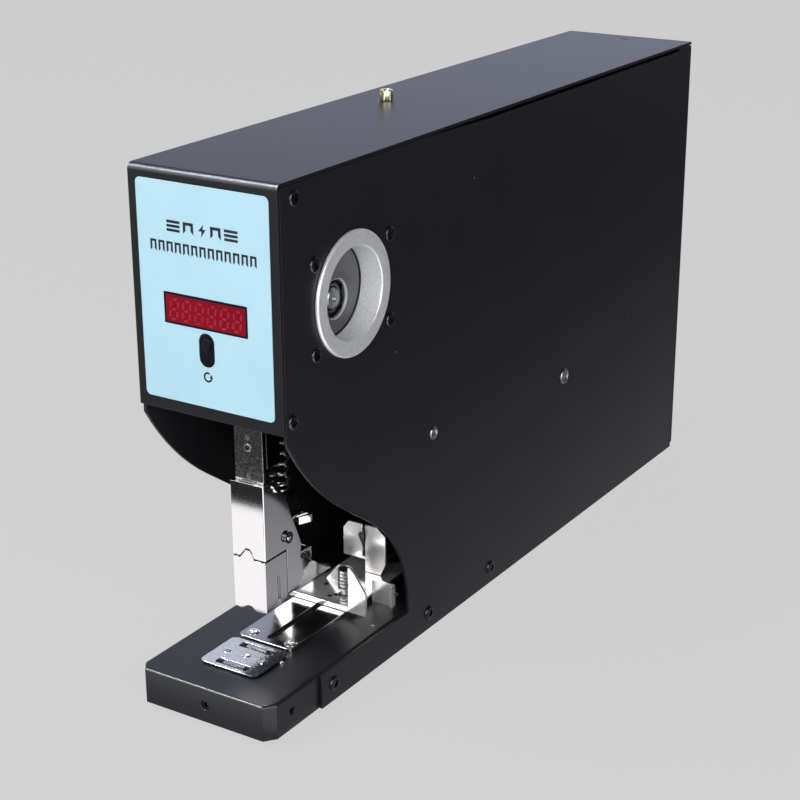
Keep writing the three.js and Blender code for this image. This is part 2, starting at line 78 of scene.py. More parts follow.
MM = 0.001
PALE = 0.628                             # radiance of the pale backdrop
FLOOR_LIT = 0.05                         # share of the floor's colour that takes light and shadow
FLOOR_GLOW = 0.955                       # its own light, as a share of the backdrop's
FACE_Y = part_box("front_top_cover")[0].y
BASE_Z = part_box("base_block")[0].z
X, Y, Z = Vector((1, 0, 0)), Vector((0, 1, 0)), Vector((0, 0, 1))
SHARP = math.radians(35)                 # faces that meet at a smaller angle are shaded as one


def spot(x, y, z):
    """A point of the design, given in millimetres, as a point of the frame."""
    return Vector((x * MM, FACE_Y + y * MM, BASE_Z + z * MM))


def node_box(name):
    """(lowest, highest) corner of a CAD node in the design's millimetres."""
    origin = spot(0, 0, 0)
    low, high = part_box(name)
    return (low - origin) / MM, (high - origin) / MM


def node_middle(name):
    low, high = node_box(name)
    return (low + high) / 2


# ---- materials ----

NICKEL = (0.88, 0.87, 0.865)
DRAWN = (1, 12, 12)                      # a grain drawn out along X


def feed(tree, sockets, values):
    """Gives each socket its value, by a link where the value is another node's output."""
    for socket, value in zip(sockets, values):
        if isinstance(value, bpy.types.NodeSocket):
            tree.links.new(value, socket)
        else:
            socket.default_value = value


def node_maths(tree, operation, *operands):
    made = tree.nodes.new("ShaderNodeMath")
    made.operation = operation
    feed(tree, made.inputs, operands)
    return made.outputs[0]


def vector_maths(tree, operation, *operands):
    made = tree.nodes.new("ShaderNodeVectorMath")
    made.operation = operation
    feed(tree, made.inputs, operands)
    return made.outputs["Value" if operation in ("DOT_PRODUCT", "LENGTH") else "Vector"]


def mix_colours(tree, share, first, second):
    """A colour that turns from first into second as share goes from 0 to 1."""
    mix = tree.nodes.new("ShaderNodeMix")
    mix.data_type = "RGBA"
    colours = [socket for socket in mix.inputs if socket.type == "RGBA"]
    feed(tree, colours, ((*first, 1), (*second, 1)))
    tree.links.new(share, mix.inputs["Factor"])
    return next(socket for socket in mix.outputs if socket.type == "RGBA")


class Surface:
    """A Principled material whose texture nodes are built by the calls below."""

    def __init__(self, name, colour, roughness, metallic=0.0):
        self.material = bpy.data.materials.new(name)
        self.material.use_nodes = True
        self.tree = self.material.node_tree
        self.shader = self.tree.nodes["Principled BSDF"]
        self.colour = colour
        self.set("Base Color", (*colour, 1)).set("Roughness", roughness).set("Metallic", metallic)
        self.place = self.node("ShaderNodeTexCoord").outputs["Object"]
        self.height = None

    def node(self, kind, **inputs):
        made = self.tree.nodes.new(kind)
        for key, value in inputs.items():
            made.inputs[key.replace("_", " ")].default_value = value
        return made

    def link(self, output, socket):
        self.tree.links.new(output, socket)

    def set(self, socket, value):
        self.shader.inputs[socket].default_value = value
        return self

    def noise(self, scale, detail=3.0, stretch=(1, 1, 1)):
        """Noise between 0 and 1, in features per metre, finer along the axes stretched more."""
        mapping = self.node("ShaderNodeMapping", Scale=stretch)
        self.link(self.place, mapping.inputs["Vector"])
        texture = self.node("ShaderNodeTexNoise", Scale=scale, Detail=detail)
        self.link(mapping.outputs["Vector"], texture.inputs["Vector"])
        return texture.outputs["Fac"]

    def turning(self, centre, pitch):
        """Rings round the X axis through centre, pitch metres apart."""
        away = vector_maths(self.tree, "SUBTRACT", self.place, centre)
        across = vector_maths(self.tree, "MULTIPLY", away, Y + Z)
        rings = self.node("ShaderNodeTexNoise", Scale=1 / pitch, Detail=2.0)
        rings.noise_dimensions = "1D"
        self.link(vector_maths(self.tree, "LENGTH", across), rings.inputs["W"])
        return rings.outputs["Fac"]

    def range(self, value, low, high, first=0.3, last=0.7):
        """Goes from low to high, and no further, as value goes from first to last."""
        mapped = self.node("ShaderNodeMapRange")
        for key, number in (("From Min", first), ("From Max", last), ("To Min", low), ("To Max", high)):
            mapped.inputs[key].default_value = number
        self.link(value, mapped.inputs["Value"])
        return mapped.outputs["Result"]

    def vary_colour(self, value, other, low=0.0, high=1.0):
        """The base colour's share of other goes from low to high as value goes from 0.3 to 0.7."""
        mixed = mix_colours(self.tree, self.range(value, low, high), self.colour, other)
        self.link(mixed, self.shader.inputs["Base Color"])
        return self

    def vary_roughness(self, value, low, high):
        self.link(self.range(value, low, high), self.shader.inputs["Roughness"])
        return self

    def bump(self, value, depth):
        """Relief of depth metres, on top of any relief set before."""
        bump = self.node("ShaderNodeBump", Distance=depth, Strength=1.0)
        self.link(value, bump.inputs["Height"])
        if self.height is not None:
            self.link(self.height, bump.inputs["Normal"])
        self.height = bump.outputs["Normal"]
        self.link(self.height, self.shader.inputs["Normal"])
        return self


def powder_coat(name, colour, paler, roughness):
    """Fine-grained satin powder coat with a faint orange peel."""
    s = Surface(name, colour, roughness)
    s.vary_colour(s.noise(38), paler, 0.0, 0.6)
    s.vary_roughness(s.noise(1900, 2), roughness - 0.07, roughness + 0.07)
    s.bump(s.noise(1300, 2), 1.6e-5)
    s.bump(s.noise(260, 2), 1.5e-5)
    return s


def moulded(name, colour, roughness):
    """Moulded plastic with a fine spark-eroded grain and handling smudges."""
    s = Surface(name, colour, roughness)
    s.vary_colour(s.noise(120), tuple(min(1.0, c * 1.6 + 0.004) for c in colour), 0.0, 0.5)
    s.vary_roughness(s.noise(90, 4), roughness - 0.08, roughness + 0.1)
    s.bump(s.noise(3200, 2), 6e-6)
    return s


def metal(name, colour, roughness, spread, grain, depth, darkening=0.75):
    """Bare or plated metal: drawn grain, cloudy roughness and slightly duller patches."""
    s = Surface(name, colour, roughness, 1.0)
    s.vary_colour(s.noise(70, 4), tuple(c * darkening for c in colour), 0.0, 0.7)
    s.vary_roughness(s.noise(150, 5), roughness - spread, roughness + spread)
    s.bump(s.noise(900, 3, grain), depth)
    return s


def polished_front():
    """Nickel on the head's covers: polished on the front, a little duller on the flanks."""
    s = metal("polished_front", NICKEL, 0.065, 0.02, DRAWN, 1.2e-6, 0.93)
    normal = s.node("ShaderNodeSeparateXYZ")
    s.link(s.node("ShaderNodeTexCoord").outputs["Normal"], normal.inputs[0])
    sideways = node_maths(s.tree, "ABSOLUTE", normal.outputs["X"])
    s.link(s.range(sideways, 0.065, 0.13, 0.6, 1.0), s.shader.inputs["Roughness"])
    return s


def anvil_steel():
    """Ground anvil steel, pitted all over and darker towards its right end."""
    s = Surface("anvil_steel", (0.92, 0.92, 0.93), 0.24, 0.8)
    place = s.node("ShaderNodeSeparateXYZ")
    s.link(s.place, place.inputs[0])
    specks = s.range(s.noise(1300, 6), -0.003, 0.003)
    edge = node_maths(s.tree, "ADD", place.outputs["X"], specks)
    # the colour darkens past about 8 to 10 mm right of the middle, along a ragged edge
    darkening = s.range(edge, 0.3, 0.7, 0.0080, 0.0100)
    pits = s.range(s.noise(1000, 6), 0.3, 0.41, 0.60, 0.70)
    s.vary_colour(node_maths(s.tree, "MAXIMUM", darkening, pits), (0.05, 0.052, 0.06))
    s.vary_roughness(s.noise(800, 5), 0.16, 0.36)
    s.bump(s.noise(1100, 4), 7e-6)
    return s


def mottled_steel():
    """Dark polished spring steel with heat-tint mottling and fine pits."""
    s = Surface("polished_steel", (0.12, 0.125, 0.12), 0.2, 1.0)
    s.vary_colour(s.noise(1500, 8, (1, 1, 0.35)), (0.34, 0.35, 0.34), 0.0, 0.9)
    s.vary_roughness(s.noise(900, 5), 0.12, 0.3)
    s.bump(s.noise(1500, 3), 3e-6)
    return s


def turned_aluminium(name, shade=1.0):
    """Bead-blasted and turned aluminium, with tool rings round the cup's axis."""
    low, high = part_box("shaft_access_cup")
    # shade scales the colour: below 1 it paints shade, as on the cup's floor; above 1 it paints light, as on
    # the cup's wall
    s = Surface(name, (0.72 * shade, 0.73 * shade, 0.75 * shade), 0.36, 0.6)
    s.vary_colour(s.noise(900, 4), (0.88 * shade, 0.89 * shade, 0.91 * shade))
    s.vary_roughness(s.noise(500, 3), 0.30, 0.46)
    s.bump(s.turning((low + high) / 2, 0.00035), 9e-6)
    s.bump(s.noise(2400, 2), 7e-6)
    return s


def label_film():
    """Pale blue polyester film with a very fine matt texture."""
    s = Surface("label_film", (0.352, 0.55, 0.65), 0.42)
    s.vary_colour(s.noise(26), (0.375, 0.575, 0.67))
    s.vary_roughness(s.noise(2500, 2), 0.36, 0.48)
    s.bump(s.noise(3500, 2), 3e-6)
    return s


def red_filter():
    """Dark red acrylic filter in front of the counter's digits."""
    s = Surface("display_red", (0.17, 0.003, 0.010), 0.18)
    s.vary_colour(s.noise(45), (0.21, 0.004, 0.014))
    s.vary_roughness(s.noise(200, 4), 0.1, 0.22)
    s.bump(s.noise(500, 2), 2e-6)
    return s.set("Specular IOR Level", 0.2)


def rubber():
    """Dull moulded rubber with a dusty bloom."""
    s = Surface("rubber_foot", (0.014, 0.014, 0.014), 0.85)
    s.vary_colour(s.noise(220, 5), (0.045, 0.044, 0.042), 0.0, 0.7)
    s.vary_roughness(s.noise(600, 3), 0.75, 0.95)
    s.bump(s.noise(1400, 3), 4e-5)
    return s


def circuit_board():
    """Green solder mask over copper, seen as slightly raised patches."""
    s = Surface("circuit_board", (0.010, 0.085, 0.030), 0.32)
    s.vary_colour(s.noise(340, 1), (0.03, 0.17, 0.06))
    s.vary_roughness(s.noise(700, 2), 0.25, 0.42)
    s.bump(s.noise(340, 1), 2.5e-5)
    return s


def winding():
    """Enamelled copper wire laid in layers."""
    s = Surface("transformer_winding", (0.42, 0.16, 0.05), 0.3, 0.8)
    s.vary_colour(s.noise(160, 4), (0.25, 0.09, 0.03))
    s.vary_roughness(s.noise(500, 3), 0.22, 0.4)
    s.bump(s.noise(120, 1, (1, 1, 14)), 1.2e-4)
    return s


def all_materials():
    """Every material by name: first the CAD slots' own, then the finishes that some pieces have instead."""
    black, greyer = (0.0040, 0.0044, 0.0056), (0.0068, 0.0072, 0.0090)
    even = (3, 3, 3)
    surfaces = [
        powder_coat("powder_black", black, greyer, 0.40),
        powder_coat("base_black", (0.0060, 0.0063, 0.0086), (0.0095, 0.010, 0.0135), 0.36),
        moulded("plastic_black", (0.012, 0.012, 0.013), 0.42),
        moulded("button_black", (0.002, 0.002, 0.006), 0.42).set("Specular IOR Level", 0.15),
        metal("nickel_plate", NICKEL, 0.08, 0.03, DRAWN, 1.2e-6, 0.93),
        mottled_steel(),
        metal("machined_steel", (0.52, 0.53, 0.54), 0.28, 0.08, (14, 1, 1), 7e-6),
        metal("black_oxide_steel", (0.075, 0.077, 0.085), 0.24, 0.07, even, 5e-6),
        turned_aluminium("cast_aluminium"),
        metal("brass", (0.88, 0.78, 0.55), 0.26, 0.07, (2, 2, 12), 6e-6, 0.85),
        label_film(), red_filter(), rubber(), circuit_board(), winding(),
        powder_coat("cover_black", black, greyer, 0.40).set("Specular IOR Level", 0.43),
        metal("satin_nickel", (0.90, 0.89, 0.88), 0.20, 0.06, DRAWN, 3e-6, 0.93).set("Metallic", 0.75),
        metal("rail_steel", (0.66, 0.65, 0.64), 0.15, 0.05, DRAWN, 2e-6, 0.93),
        metal("dull_steel", (0.30, 0.31, 0.31), 0.3, 0.06, even, 6e-6),
        polished_front(), anvil_steel(),
        # painted shade: a darkened copy of the aluminium for the cup's floor
        turned_aluminium("painted_shade_aluminium", 0.15),
        # painted light: a lightened, less metallic copy of the aluminium for the cup's wall
        turned_aluminium("painted_light_aluminium", 1.08).set("Metallic", 0.25),
        moulded("label_ink", (0.004, 0.006, 0.012), 0.4),
        moulded("digit_red", (0.235, 0.010, 0.022), 0.3).set("Specular IOR Level", 0.2),
    ]
    return {s.material.name: s.material for s in surfaces}


CAD_SLOTS = {name: node.data.materials[0].name for name, node in frame["nodes"].items()}
for plain in list(bpy.data.materials):
    bpy.data.materials.remove(plain)
MATERIALS = all_materials()


def dress_frame():
    """Gives every CAD node its slot's material or finish, merged corners, rounded edges and smooth curves."""
    edge = {"base_block": 1.4, "front_top_cover": 0.35, "gauge_rail": 0.15, "head_upper_cover": 2.0,
            "head_lower_cover": 1.7, "magazine_latch": 0.12, "ram_strip": 0.9, "right_side_plate": 0.7,
            "left_side_plate": 0.7, "front_foot": 0.8, "rear_foot": 0.8, "power_transformer": 1.2,
            "gear_motor": 0.8, "ram_block": 0.6, "head_block": 0.6, "drive_gear": 0.08,
            "motor_pinion": 0.08}
    usual_edge = 0.22
    finish = {"front_top_cover": "cover_black", "gauge_rail": "rail_steel",
              "gauge_carriage": "satin_nickel", "gauge_back_stop": "satin_nickel",
              "throat_bracket_right": "satin_nickel", "throat_bracket_left": "satin_nickel",
              "head_upper_cover": "polished_front", "head_lower_cover": "polished_front"}
    margin = 0.4 * MM
    front, top = -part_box("head_upper_cover")[0].y - margin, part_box("base_block")[1].z - margin
    corners = smooth_by_angle("front_corners", (-Y, front, True))
    rims = smooth_by_angle("top_rims", (Z, top, False))
    rounder = {"head_upper_cover": corners, "head_lower_cover": corners, "base_block": rims}
    for name, node in frame["nodes"].items():
        node.data.materials.clear()
        node.data.materials.append(MATERIALS[finish.get(name, CAD_SLOTS[name])])
        if name in rounder:
            soften(node, edge[name], rounder[name], 4, True)
        else:
            soften(node, edge.get(name, usual_edge), SMOOTHING)


# ---- mesh helpers; local shapes are in millimetres along +Z ----


def smooth_by_angle(name, broad=None):
    """A geometry node group that merges doubled corners and shades smooth where faces meet gently.

    With broad = (axis, limit, upright) it also weights the sharp edges for a bevel: fully when they
    are long, lie past limit along axis and are upright (or, with upright False, level), else by a fifth.
    """
    group = bpy.data.node_groups.new(name, "GeometryNodeTree")
    for way in ("INPUT", "OUTPUT"):
        group.interface.new_socket("Geometry", in_out=way, socket_type="NodeSocketGeometry")
    link = group.links.new
    entry, leave = group.nodes.new("NodeGroupInput"), group.nodes.new("NodeGroupOutput")
    merge = group.nodes.new("GeometryNodeMergeByDistance")
    merge.inputs["Distance"].default_value = 2e-6
    angle = group.nodes.new("GeometryNodeInputMeshEdgeAngle").outputs["Unsigned Angle"]
    edges = group.nodes.new("GeometryNodeSetShadeSmooth")
    edges.domain = "EDGE"
    faces = group.nodes.new("GeometryNodeSetShadeSmooth")
    link(entry.outputs["Geometry"], merge.inputs["Geometry"])
    shape = merge.outputs["Geometry"]
    if broad:
        sharp = node_maths(group, "GREATER_THAN", angle, SHARP)
        share = node_maths(group, "MULTIPLY", broad_edges(group, *broad), 4 / 5)
        weight = node_maths(group, "MULTIPLY", node_maths(group, "ADD", share, 1 / 5), sharp)
        store = group.nodes.new("GeometryNodeStoreNamedAttribute")
        store.data_type = "FLOAT"
        store.domain = "EDGE"
        store.inputs["Name"].default_value = "bevel_weight_edge"
        link(weight, store.inputs["Value"])
        link(shape, store.inputs["Geometry"])
        shape = store.outputs["Geometry"]
    link(shape, edges.inputs["Geometry"])
    link(node_maths(group, "LESS_THAN", angle, SHARP), edges.inputs["Shade Smooth"])
    link(edges.outputs["Geometry"], faces.inputs["Geometry"])
    link(faces.outputs["Geometry"], leave.inputs["Geometry"])
    return group


def broad_edges(group, axis, limit, upright):
    """1 on the long edges past limit metres along axis that are upright, or level; 0 on the others."""
    ends = group.nodes.new("GeometryNodeInputMeshEdgeVertices").outputs
    one, other = ends["Position 1"], ends["Position 2"]
    along = vector_maths(group, "SUBTRACT", one, other)
    slant = vector_maths(group, "DOT_PRODUCT", vector_maths(group, "NORMALIZE", along), Z)
    rise = node_maths(group, "ABSOLUTE", slant)
    test = node_maths(group, *("GREATER_THAN", rise, 0.9) if upright else ("LESS_THAN", rise, 0.1))
    for value, least in ((vector_maths(group, "LENGTH", along), 5 * MM),
                         (vector_maths(group, "DOT_PRODUCT", one, axis), limit),
                         (vector_maths(group, "DOT_PRODUCT", other, axis), limit)):
        test = node_maths(group, "MULTIPLY", test, node_maths(group, "GREATER_THAN", value, least))
    return test


SMOOTHING = smooth_by_angle("smooth_by_angle")


def soften(obj, bevel_mm, weld=None, segments=2, weighted=False):
    """Rounds the sharp edges of obj and smooths its curved faces, all by modifiers."""
    if weld:
        obj.modifiers.new("smooth", "NODES").node_group = weld
    if bevel_mm:
        bevel = obj.modifiers.new("edges", "BEVEL")
        bevel.width = bevel_mm * MM
        bevel.segments = segments
        bevel.limit_method = "WEIGHT" if weighted else "ANGLE"
        bevel.angle_limit = SHARP
        bevel.miter_outer = "MITER_ARC"
    normals = obj.modifiers.new("normals", "WEIGHTED_NORMAL")
    normals.keep_sharp = True


def circle(radius, height, steps=32, centre=(0, 0)):
    """A loop of points; centre moves it off the axis."""
    turn = 2 * math.pi / steps
    u, v = centre
    return [Vector((u + radius * math.cos(turn * i), v + radius * math.sin(turn * i), height))
            for i in range(steps)]


def rings(profile, steps):
    """A circle for each (radius, height) of a profile."""
    return [circle(radius, height, steps) for radius, height in profile]


def polygon(sides, across, height, steps=24):
    """A loop of points on a regular polygon of the given distance across flats."""
    loop = []
    for i in range(steps):
        a = 2 * math.pi * i / steps
        from_flat = (a + math.pi / sides) % (2 * math.pi / sides) - math.pi / sides
        radius = across / 2 / math.cos(from_flat)
        loop.append(Vector((radius * math.cos(a), radius * math.sin(a), height)))
    return loop


def loft(loops, place=None, ends=True):
    """Skins a row of loops that have equally many points, and closes both ends.

    With ends False the last loop is joined to the first instead.
    """
    bm = bmesh.new()
    place = place or Matrix.Identity(4)
    rows = [[bm.verts.new(place @ point) for point in loop] for loop in loops]
    for low, high in zip(rows, rows[1:]):
        for i in range(len(low)):
            j = (i + 1) % len(low)
            bm.faces.new((low[i], low[j], high[j], high[i]))
    if ends:
        bm.faces.new(rows[0][::-1])
        bm.faces.new(rows[-1])
    else:
        for i in range(len(rows[0])):
            j = (i + 1) % len(rows[0])
            bm.faces.new((rows[-1][i], rows[-1][j], rows[0][j], rows[0][i]))
    return bm


def turned(profile, steps, axis, x, y, z, ends=True):
    """A profile of (radius, height) turned about the line from x, y, z along axis."""
    return loft(rings(profile, steps), facing(axis, x, y, z), ends)


def slab(outline, low, high, holes=(), bm=None, place=None):
    """An outline in x and y, with holes, made solid from height low to high."""
    bm = bm or bmesh.new()
    place = place or Matrix.Identity(4)
    edges = []
    for loop in (outline, *holes):
        verts = [bm.verts.new(place @ Vector((u, v, low))) for u, v in loop]
        edges += [bm.edges.new((a, b)) for a, b in zip(verts, verts[1:] + verts[:1])]
    faces = [f for f in bmesh.ops.triangle_fill(bm, edges=edges, use_beauty=True)["geom"]
             if isinstance(f, bmesh.types.BMFace)]
    raised = bmesh.ops.extrude_face_region(bm, geom=faces, use_keep_orig=True)["geom"]
    shift = place.to_3x3() @ Vector((0, 0, high - low))
    bmesh.ops.translate(bm, vec=shift, verts=[v for v in raised if isinstance(v, bmesh.types.BMVert)])
    return bm


def rectangle(x0, x1, y0, y1, *height):
    """The corners of a rectangle, all at the same height if one is given."""
    return [(x0, y0, *height), (x1, y0, *height), (x1, y1, *height), (x0, y1, *height)]


def block(x0, x1, y0, y1, z0, z1, bm, place=None):
    slab(rectangle(x0, x1, y0, y1), z0, z1, (), bm, place)


def arc(cu, cv, radius, start, end, steps):
    """Points on an arc; the angles are in degrees."""
    angles = [math.radians(start + (end - start) * i / steps) for i in range(steps + 1)]
    return [(cu + radius * math.cos(a), cv + radius * math.sin(a)) for a in angles]


def rounded(u0, u1, v0, v1, radius, steps=6):
    """Outline of a rectangle with rounded corners."""
    corners = ((u1, v0, -90), (u1, v1, 0), (u0, v1, 90), (u0, v0, 180))
    outline = []
    for u, v, start in corners:
        cu = u - radius if u == u1 else u + radius
        cv = v - radius if v == v1 else v + radius
        outline += arc(cu, cv, radius, start, start + 90, steps)
    return outline


def facing(axis, x, y, z, spin=0.0):
    """Placement, in millimetres, that puts a shape's origin at x, y, z and its +Z along axis."""
    turn = axis.to_track_quat("Z", "Y").to_matrix().to_4x4()
    return Matrix.Translation((x, y, z)) @ turn @ Matrix.Rotation(math.radians(spin), 4, "Z")


def on_front(y):
    """Placement of a shape at y that faces forward: its x runs along +X, its y up and its height along -Y."""
    return Matrix(((1, 0, 0, 0), (0, 0, -1, y), (0, 1, 0, 0), (0, 0, 0, 1)))


def add_object(name, data):
    made = bpy.data.objects.new(name, data)
    bpy.context.scene.collection.objects.link(made)
    return made


def piece(name, body, slot, bm, replaces=(), bevel=0.0, material=None):
    """Turns a bmesh in the design's millimetres into a piece that rides on a body."""
    to_frame = Matrix.Translation(spot(0, 0, 0)) @ Matrix.Scale(MM, 4)
    bmesh.ops.remove_doubles(bm, verts=bm.verts, dist=1e-4)
    bmesh.ops.transform(bm, matrix=to_frame, verts=bm.verts)
    bmesh.ops.recalc_face_normals(bm, faces=bm.faces)
    mesh = bpy.data.meshes.new(name)
    bm.to_mesh(mesh)
    bm.free()
    mesh.materials.append(MATERIALS[material or slot])
    mesh.shade_smooth()
    mesh.set_sharp_from_angle(angle=SHARP)
    obj = add_object(name, mesh)
    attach(obj, body)
    if replaces:
        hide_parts(*replaces)
    if bevel:
        soften(obj, bevel)
    return obj


# ---- fasteners ----


def screw_head(profile, radius, height):
    """Circles for a profile given in shares of the head's radius and height."""
    return rings([(radius * r, height * h) for r, h in profile], 24)


def socket_screw(place, radius, height):
    """Button-head screw with a hexagon socket, its seat at height 0."""
    head = screw_head(((1, 0), (1, 0.35), (0.94, 0.7), (0.8, 0.95), (0.64, 1)), radius, height)
    socket = [polygon(6, radius * r, height * h) for r, h in ((1.045, 1), (0.95, 0.9), (0.95, 0.35))]
    return loft(head + socket, place)


def cross_screw(place, radius, height):
    """Pan-head screw with a cross recess, its seat at height 0."""
    arm, half = radius * 0.62, radius * 0.13
    steps = 24

    def cross(size, level, thick):
        loop = []
        for i in range(steps):
            a = 2 * math.pi * i / steps
            c, s = abs(math.cos(a)), abs(math.sin(a))
            reach = min(size / max(c, s), thick / max(min(c, s), 1e-3))
            loop.append(Vector((reach * math.cos(a), reach * math.sin(a), level)))
        return loop

    head = screw_head(((1, 0), (1, 0.3), (0.9, 0.75), (0.72, 1)), radius, height)
    return loft([*head, cross(arm, height, half), cross(arm * 0.6, height * 0.3, half * 0.7)], place)


def row_of_screws(name, body, slot, make, places, radius, height):
    for i, place in enumerate(places, 1):
        piece(f"{name}_{i}", body, slot, make(place, radius, height))


def side_screws():
    """Screws through both side plates, and the small tapped holes' plugs."""
    right, left = node_box("right_side_plate")[1].x, node_box("left_side_plate")[0].x
    corners = [(11.6, 248), (7, 149.7)]
    posts = [(y, z) for y in (25.4, 84.7) for z in (174.9, 215.8)]
    base = [(y, 9) for y in (34.2, 119.1, 181.5)]
    plugs = [(89.8, 157.8), (160.7, 226), (340.3, 108.6), (379.4, 104.1)]
    groups = (("corner", corners, 3.6), ("post", posts, 3.6), ("base", base, 3.7))
    for side, x, axis in (("right", right, X), ("left", left, -X)):
        for group, spots, radius in groups:
            places = [facing(axis, x, y, z, 11 * i) for i, (y, z) in enumerate(spots)]
            name = f"{side}_{group}_screw"
            row_of_screws(name, "chassis", "black_oxide_steel", socket_screw, places, radius, 1.0)
        places = [facing(axis, x, y, z) for y, z in plugs]
        row_of_screws(f"{side}_plug", "chassis", "black_oxide_steel", cross_screw, places, 1.0, 0.4)
        for kind, radius in (("main", 4.3), ("front", 3.2)):
            rod = node_middle(f"{kind}_tie_rod")
            head = turned([(radius, 0), (radius, 0.35), (radius - 0.25, 0.7), (radius - 0.9, 0.8),
                           (radius - 1.2, 0.15), (radius * 0.2, 0.05)], 32, axis, x, rod.y, rod.z)
            piece(f"{side}_{kind}_rod_end", "chassis", "machined_steel", head)


# ---- front panel ----


PRINT = on_front(node_box("label_panel")[0].y)
INK = 0.03                               # thickness of the print


def staple_icon(u, v, width, height, stroke, bm):
    """A staple seen from the front: a bar with two legs."""
    w, h, t = width / 2, height / 2, stroke
    slab([(u - w, v - h), (u - w + t, v - h + t), (u - w + t, v + h - t), (u + w - t, v + h - t),
          (u + w - t, v - h + t), (u + w, v - h), (u + w, v + h), (u - w, v + h)], 0, INK, (), bm, PRINT)


def label():
    """Pale blue front label, with rows of icons in place of any lettering."""
    low, high = node_box("label_panel")
    window_low, window_high = node_box("display_window")
    bezel_low, bezel_high = node_box("reset_bezel")
    gap = 0.2
    half = bezel_high.x + gap
    holes = [
        rounded(window_low.x - gap, window_high.x + gap, window_low.z - gap, window_high.z + gap, 0.6),
        rounded(-half, half, bezel_low.z - gap, bezel_high.z + gap, half - 0.02, 10),
    ]
    sheet = slab(rounded(low.x, high.x, low.z, high.z, 2.5, 8), -high.y, -low.y, holes, None, on_front(0))
    piece("front_label", "chassis", "label_film", sheet, ["label_panel"], 0.06)

    icons = bmesh.new()
    upper, lower, size = 231, 221.3, 5.2
    # upper row: sheets of paper, a staple, a lightning bolt, a staple and sheets again
    half_sheet, half_edge, pitch = 3.6, 0.62, 1.9
    for u in (-15.6, 15.6):
        for v in (upper - pitch, upper, upper + pitch):
            block(u - half_sheet, u + half_sheet, v - half_edge, v + half_edge, 0, INK, icons, PRINT)
    for u in (-7.4, 7.4):
        staple_icon(u, upper, 5.6, size, 1.4, icons)
    bolt = [(-0.4, -2.9), (2.1, 0.7), (0.5, 0.7), (1.0, 2.9), (-1.9, -0.3), (-0.1, -0.3)]
    slab([(u, upper + v) for u, v in bolt], 0, INK, (), icons, PRINT)
    # lower row: a strip of staples
    for i in range(13):
        staple_icon(-27 + 4.5 * i, lower, 3.4, size, 1.05, icons)
    # reset arrow under the button: an open ring with a head
    ring_z = 165
    ring = arc(0, ring_z, 2.4, 60, 360, 20) + arc(0, ring_z, 1.5, 360, 60, 20)
    slab(ring, 0, INK, (), icons, PRINT)
    slab([(1.85, ring_z + 1.5), (2.9, ring_z - 0.2), (0.9, ring_z - 0.2)], 0, INK, (), icons, PRINT)
    piece("label_print", "chassis", "label_film", icons, material="label_ink")


def digit_segments(u, v, width, height, stroke, place, bm):
    """The seven bars of one figure eight, leaning slightly forward."""
    lean = 0.12
    half = height / 2

    def bar(points):
        slab([(u + a + lean * b, v + b) for a, b in points], 0, 0.04, (), bm, place)

    gap, tip = stroke * 0.62, stroke / 2
    reach = width / 2 - gap
    for level in (-half, 0, half):
        bar([(-reach, level), (tip - reach, level - tip), (reach - tip, level - tip), (reach, level),
             (reach - tip, level + tip), (tip - reach, level + tip)])
    for side in (-width / 2, width / 2):
        for level in (-half, 0):
            a, b = level + gap, level + half - gap
            bar([(side, a), (side + tip, a + tip), (side + tip, b - tip), (side, b), (side - tip, b - tip),
                 (side - tip, a + tip)])


def counter():
    """Red counter window with a black surround and six unlit figures."""
    low, high = node_box("display_window")
    border, step = 0.9, 0.1
    inner = rounded(low.x + border, high.x - border, low.z + border, high.z - border, 0.3)
    outer = rounded(low.x, high.x, low.z, high.z, 0.5)
    rim = slab(outer, -high.y, -low.y, [inner], None, on_front(0))
    piece("counter_surround", "chassis", "plastic_black", rim, (), 0.08, "button_black")
    pane = slab(inner, -high.y, -low.y - step, (), None, on_front(0))
    piece("counter_window", "chassis", "display_red", pane, ["display_window"])
    figures = bmesh.new()
    middle, pitch = node_middle("display_window").z - 0.4, 6.9
    for i in range(6):
        digit_segments(pitch * (i - 2.5), middle, 3.9, 9.0, 1.0, on_front(low.y + step), figures)
    piece("counter_figures", "chassis", "display_red", figures, material="digit_red")


def reset_key():
    """Slightly dished reset button inside its long bezel."""
    low, high = node_box("reset_bezel")
    button_low, button_high = node_box("reset_button")
    radius = (button_high.x - button_low.x) / 2
    z = (button_low.z + button_high.z) / 2
    length = button_high.y - button_low.y
    cap = turned([(radius, 0), (radius, length - 0.7), (radius - 0.25, length - 0.25),
                  (radius - 0.8, length), (radius * 0.45, length - 0.12), (0.1, length - 0.2)], 40,
                 -Y, 0, button_high.y, z)
    piece("reset_cap", "reset_key", "button_black", cap, ["reset_button"])
    outline = rounded(-high.x, high.x, low.z, high.z, high.x - 0.02, 12)
    hole = arc(0, z, radius + 0.25, 0, 345, 23)
    bezel = slab(outline, -high.y, -low.y, [hole], None, on_front(0))
    piece("reset_surround", "chassis", "plastic_black", bezel, ["reset_bezel"], 0.15, "button_black")


# ---- shaft access cup, shaft and nut ----


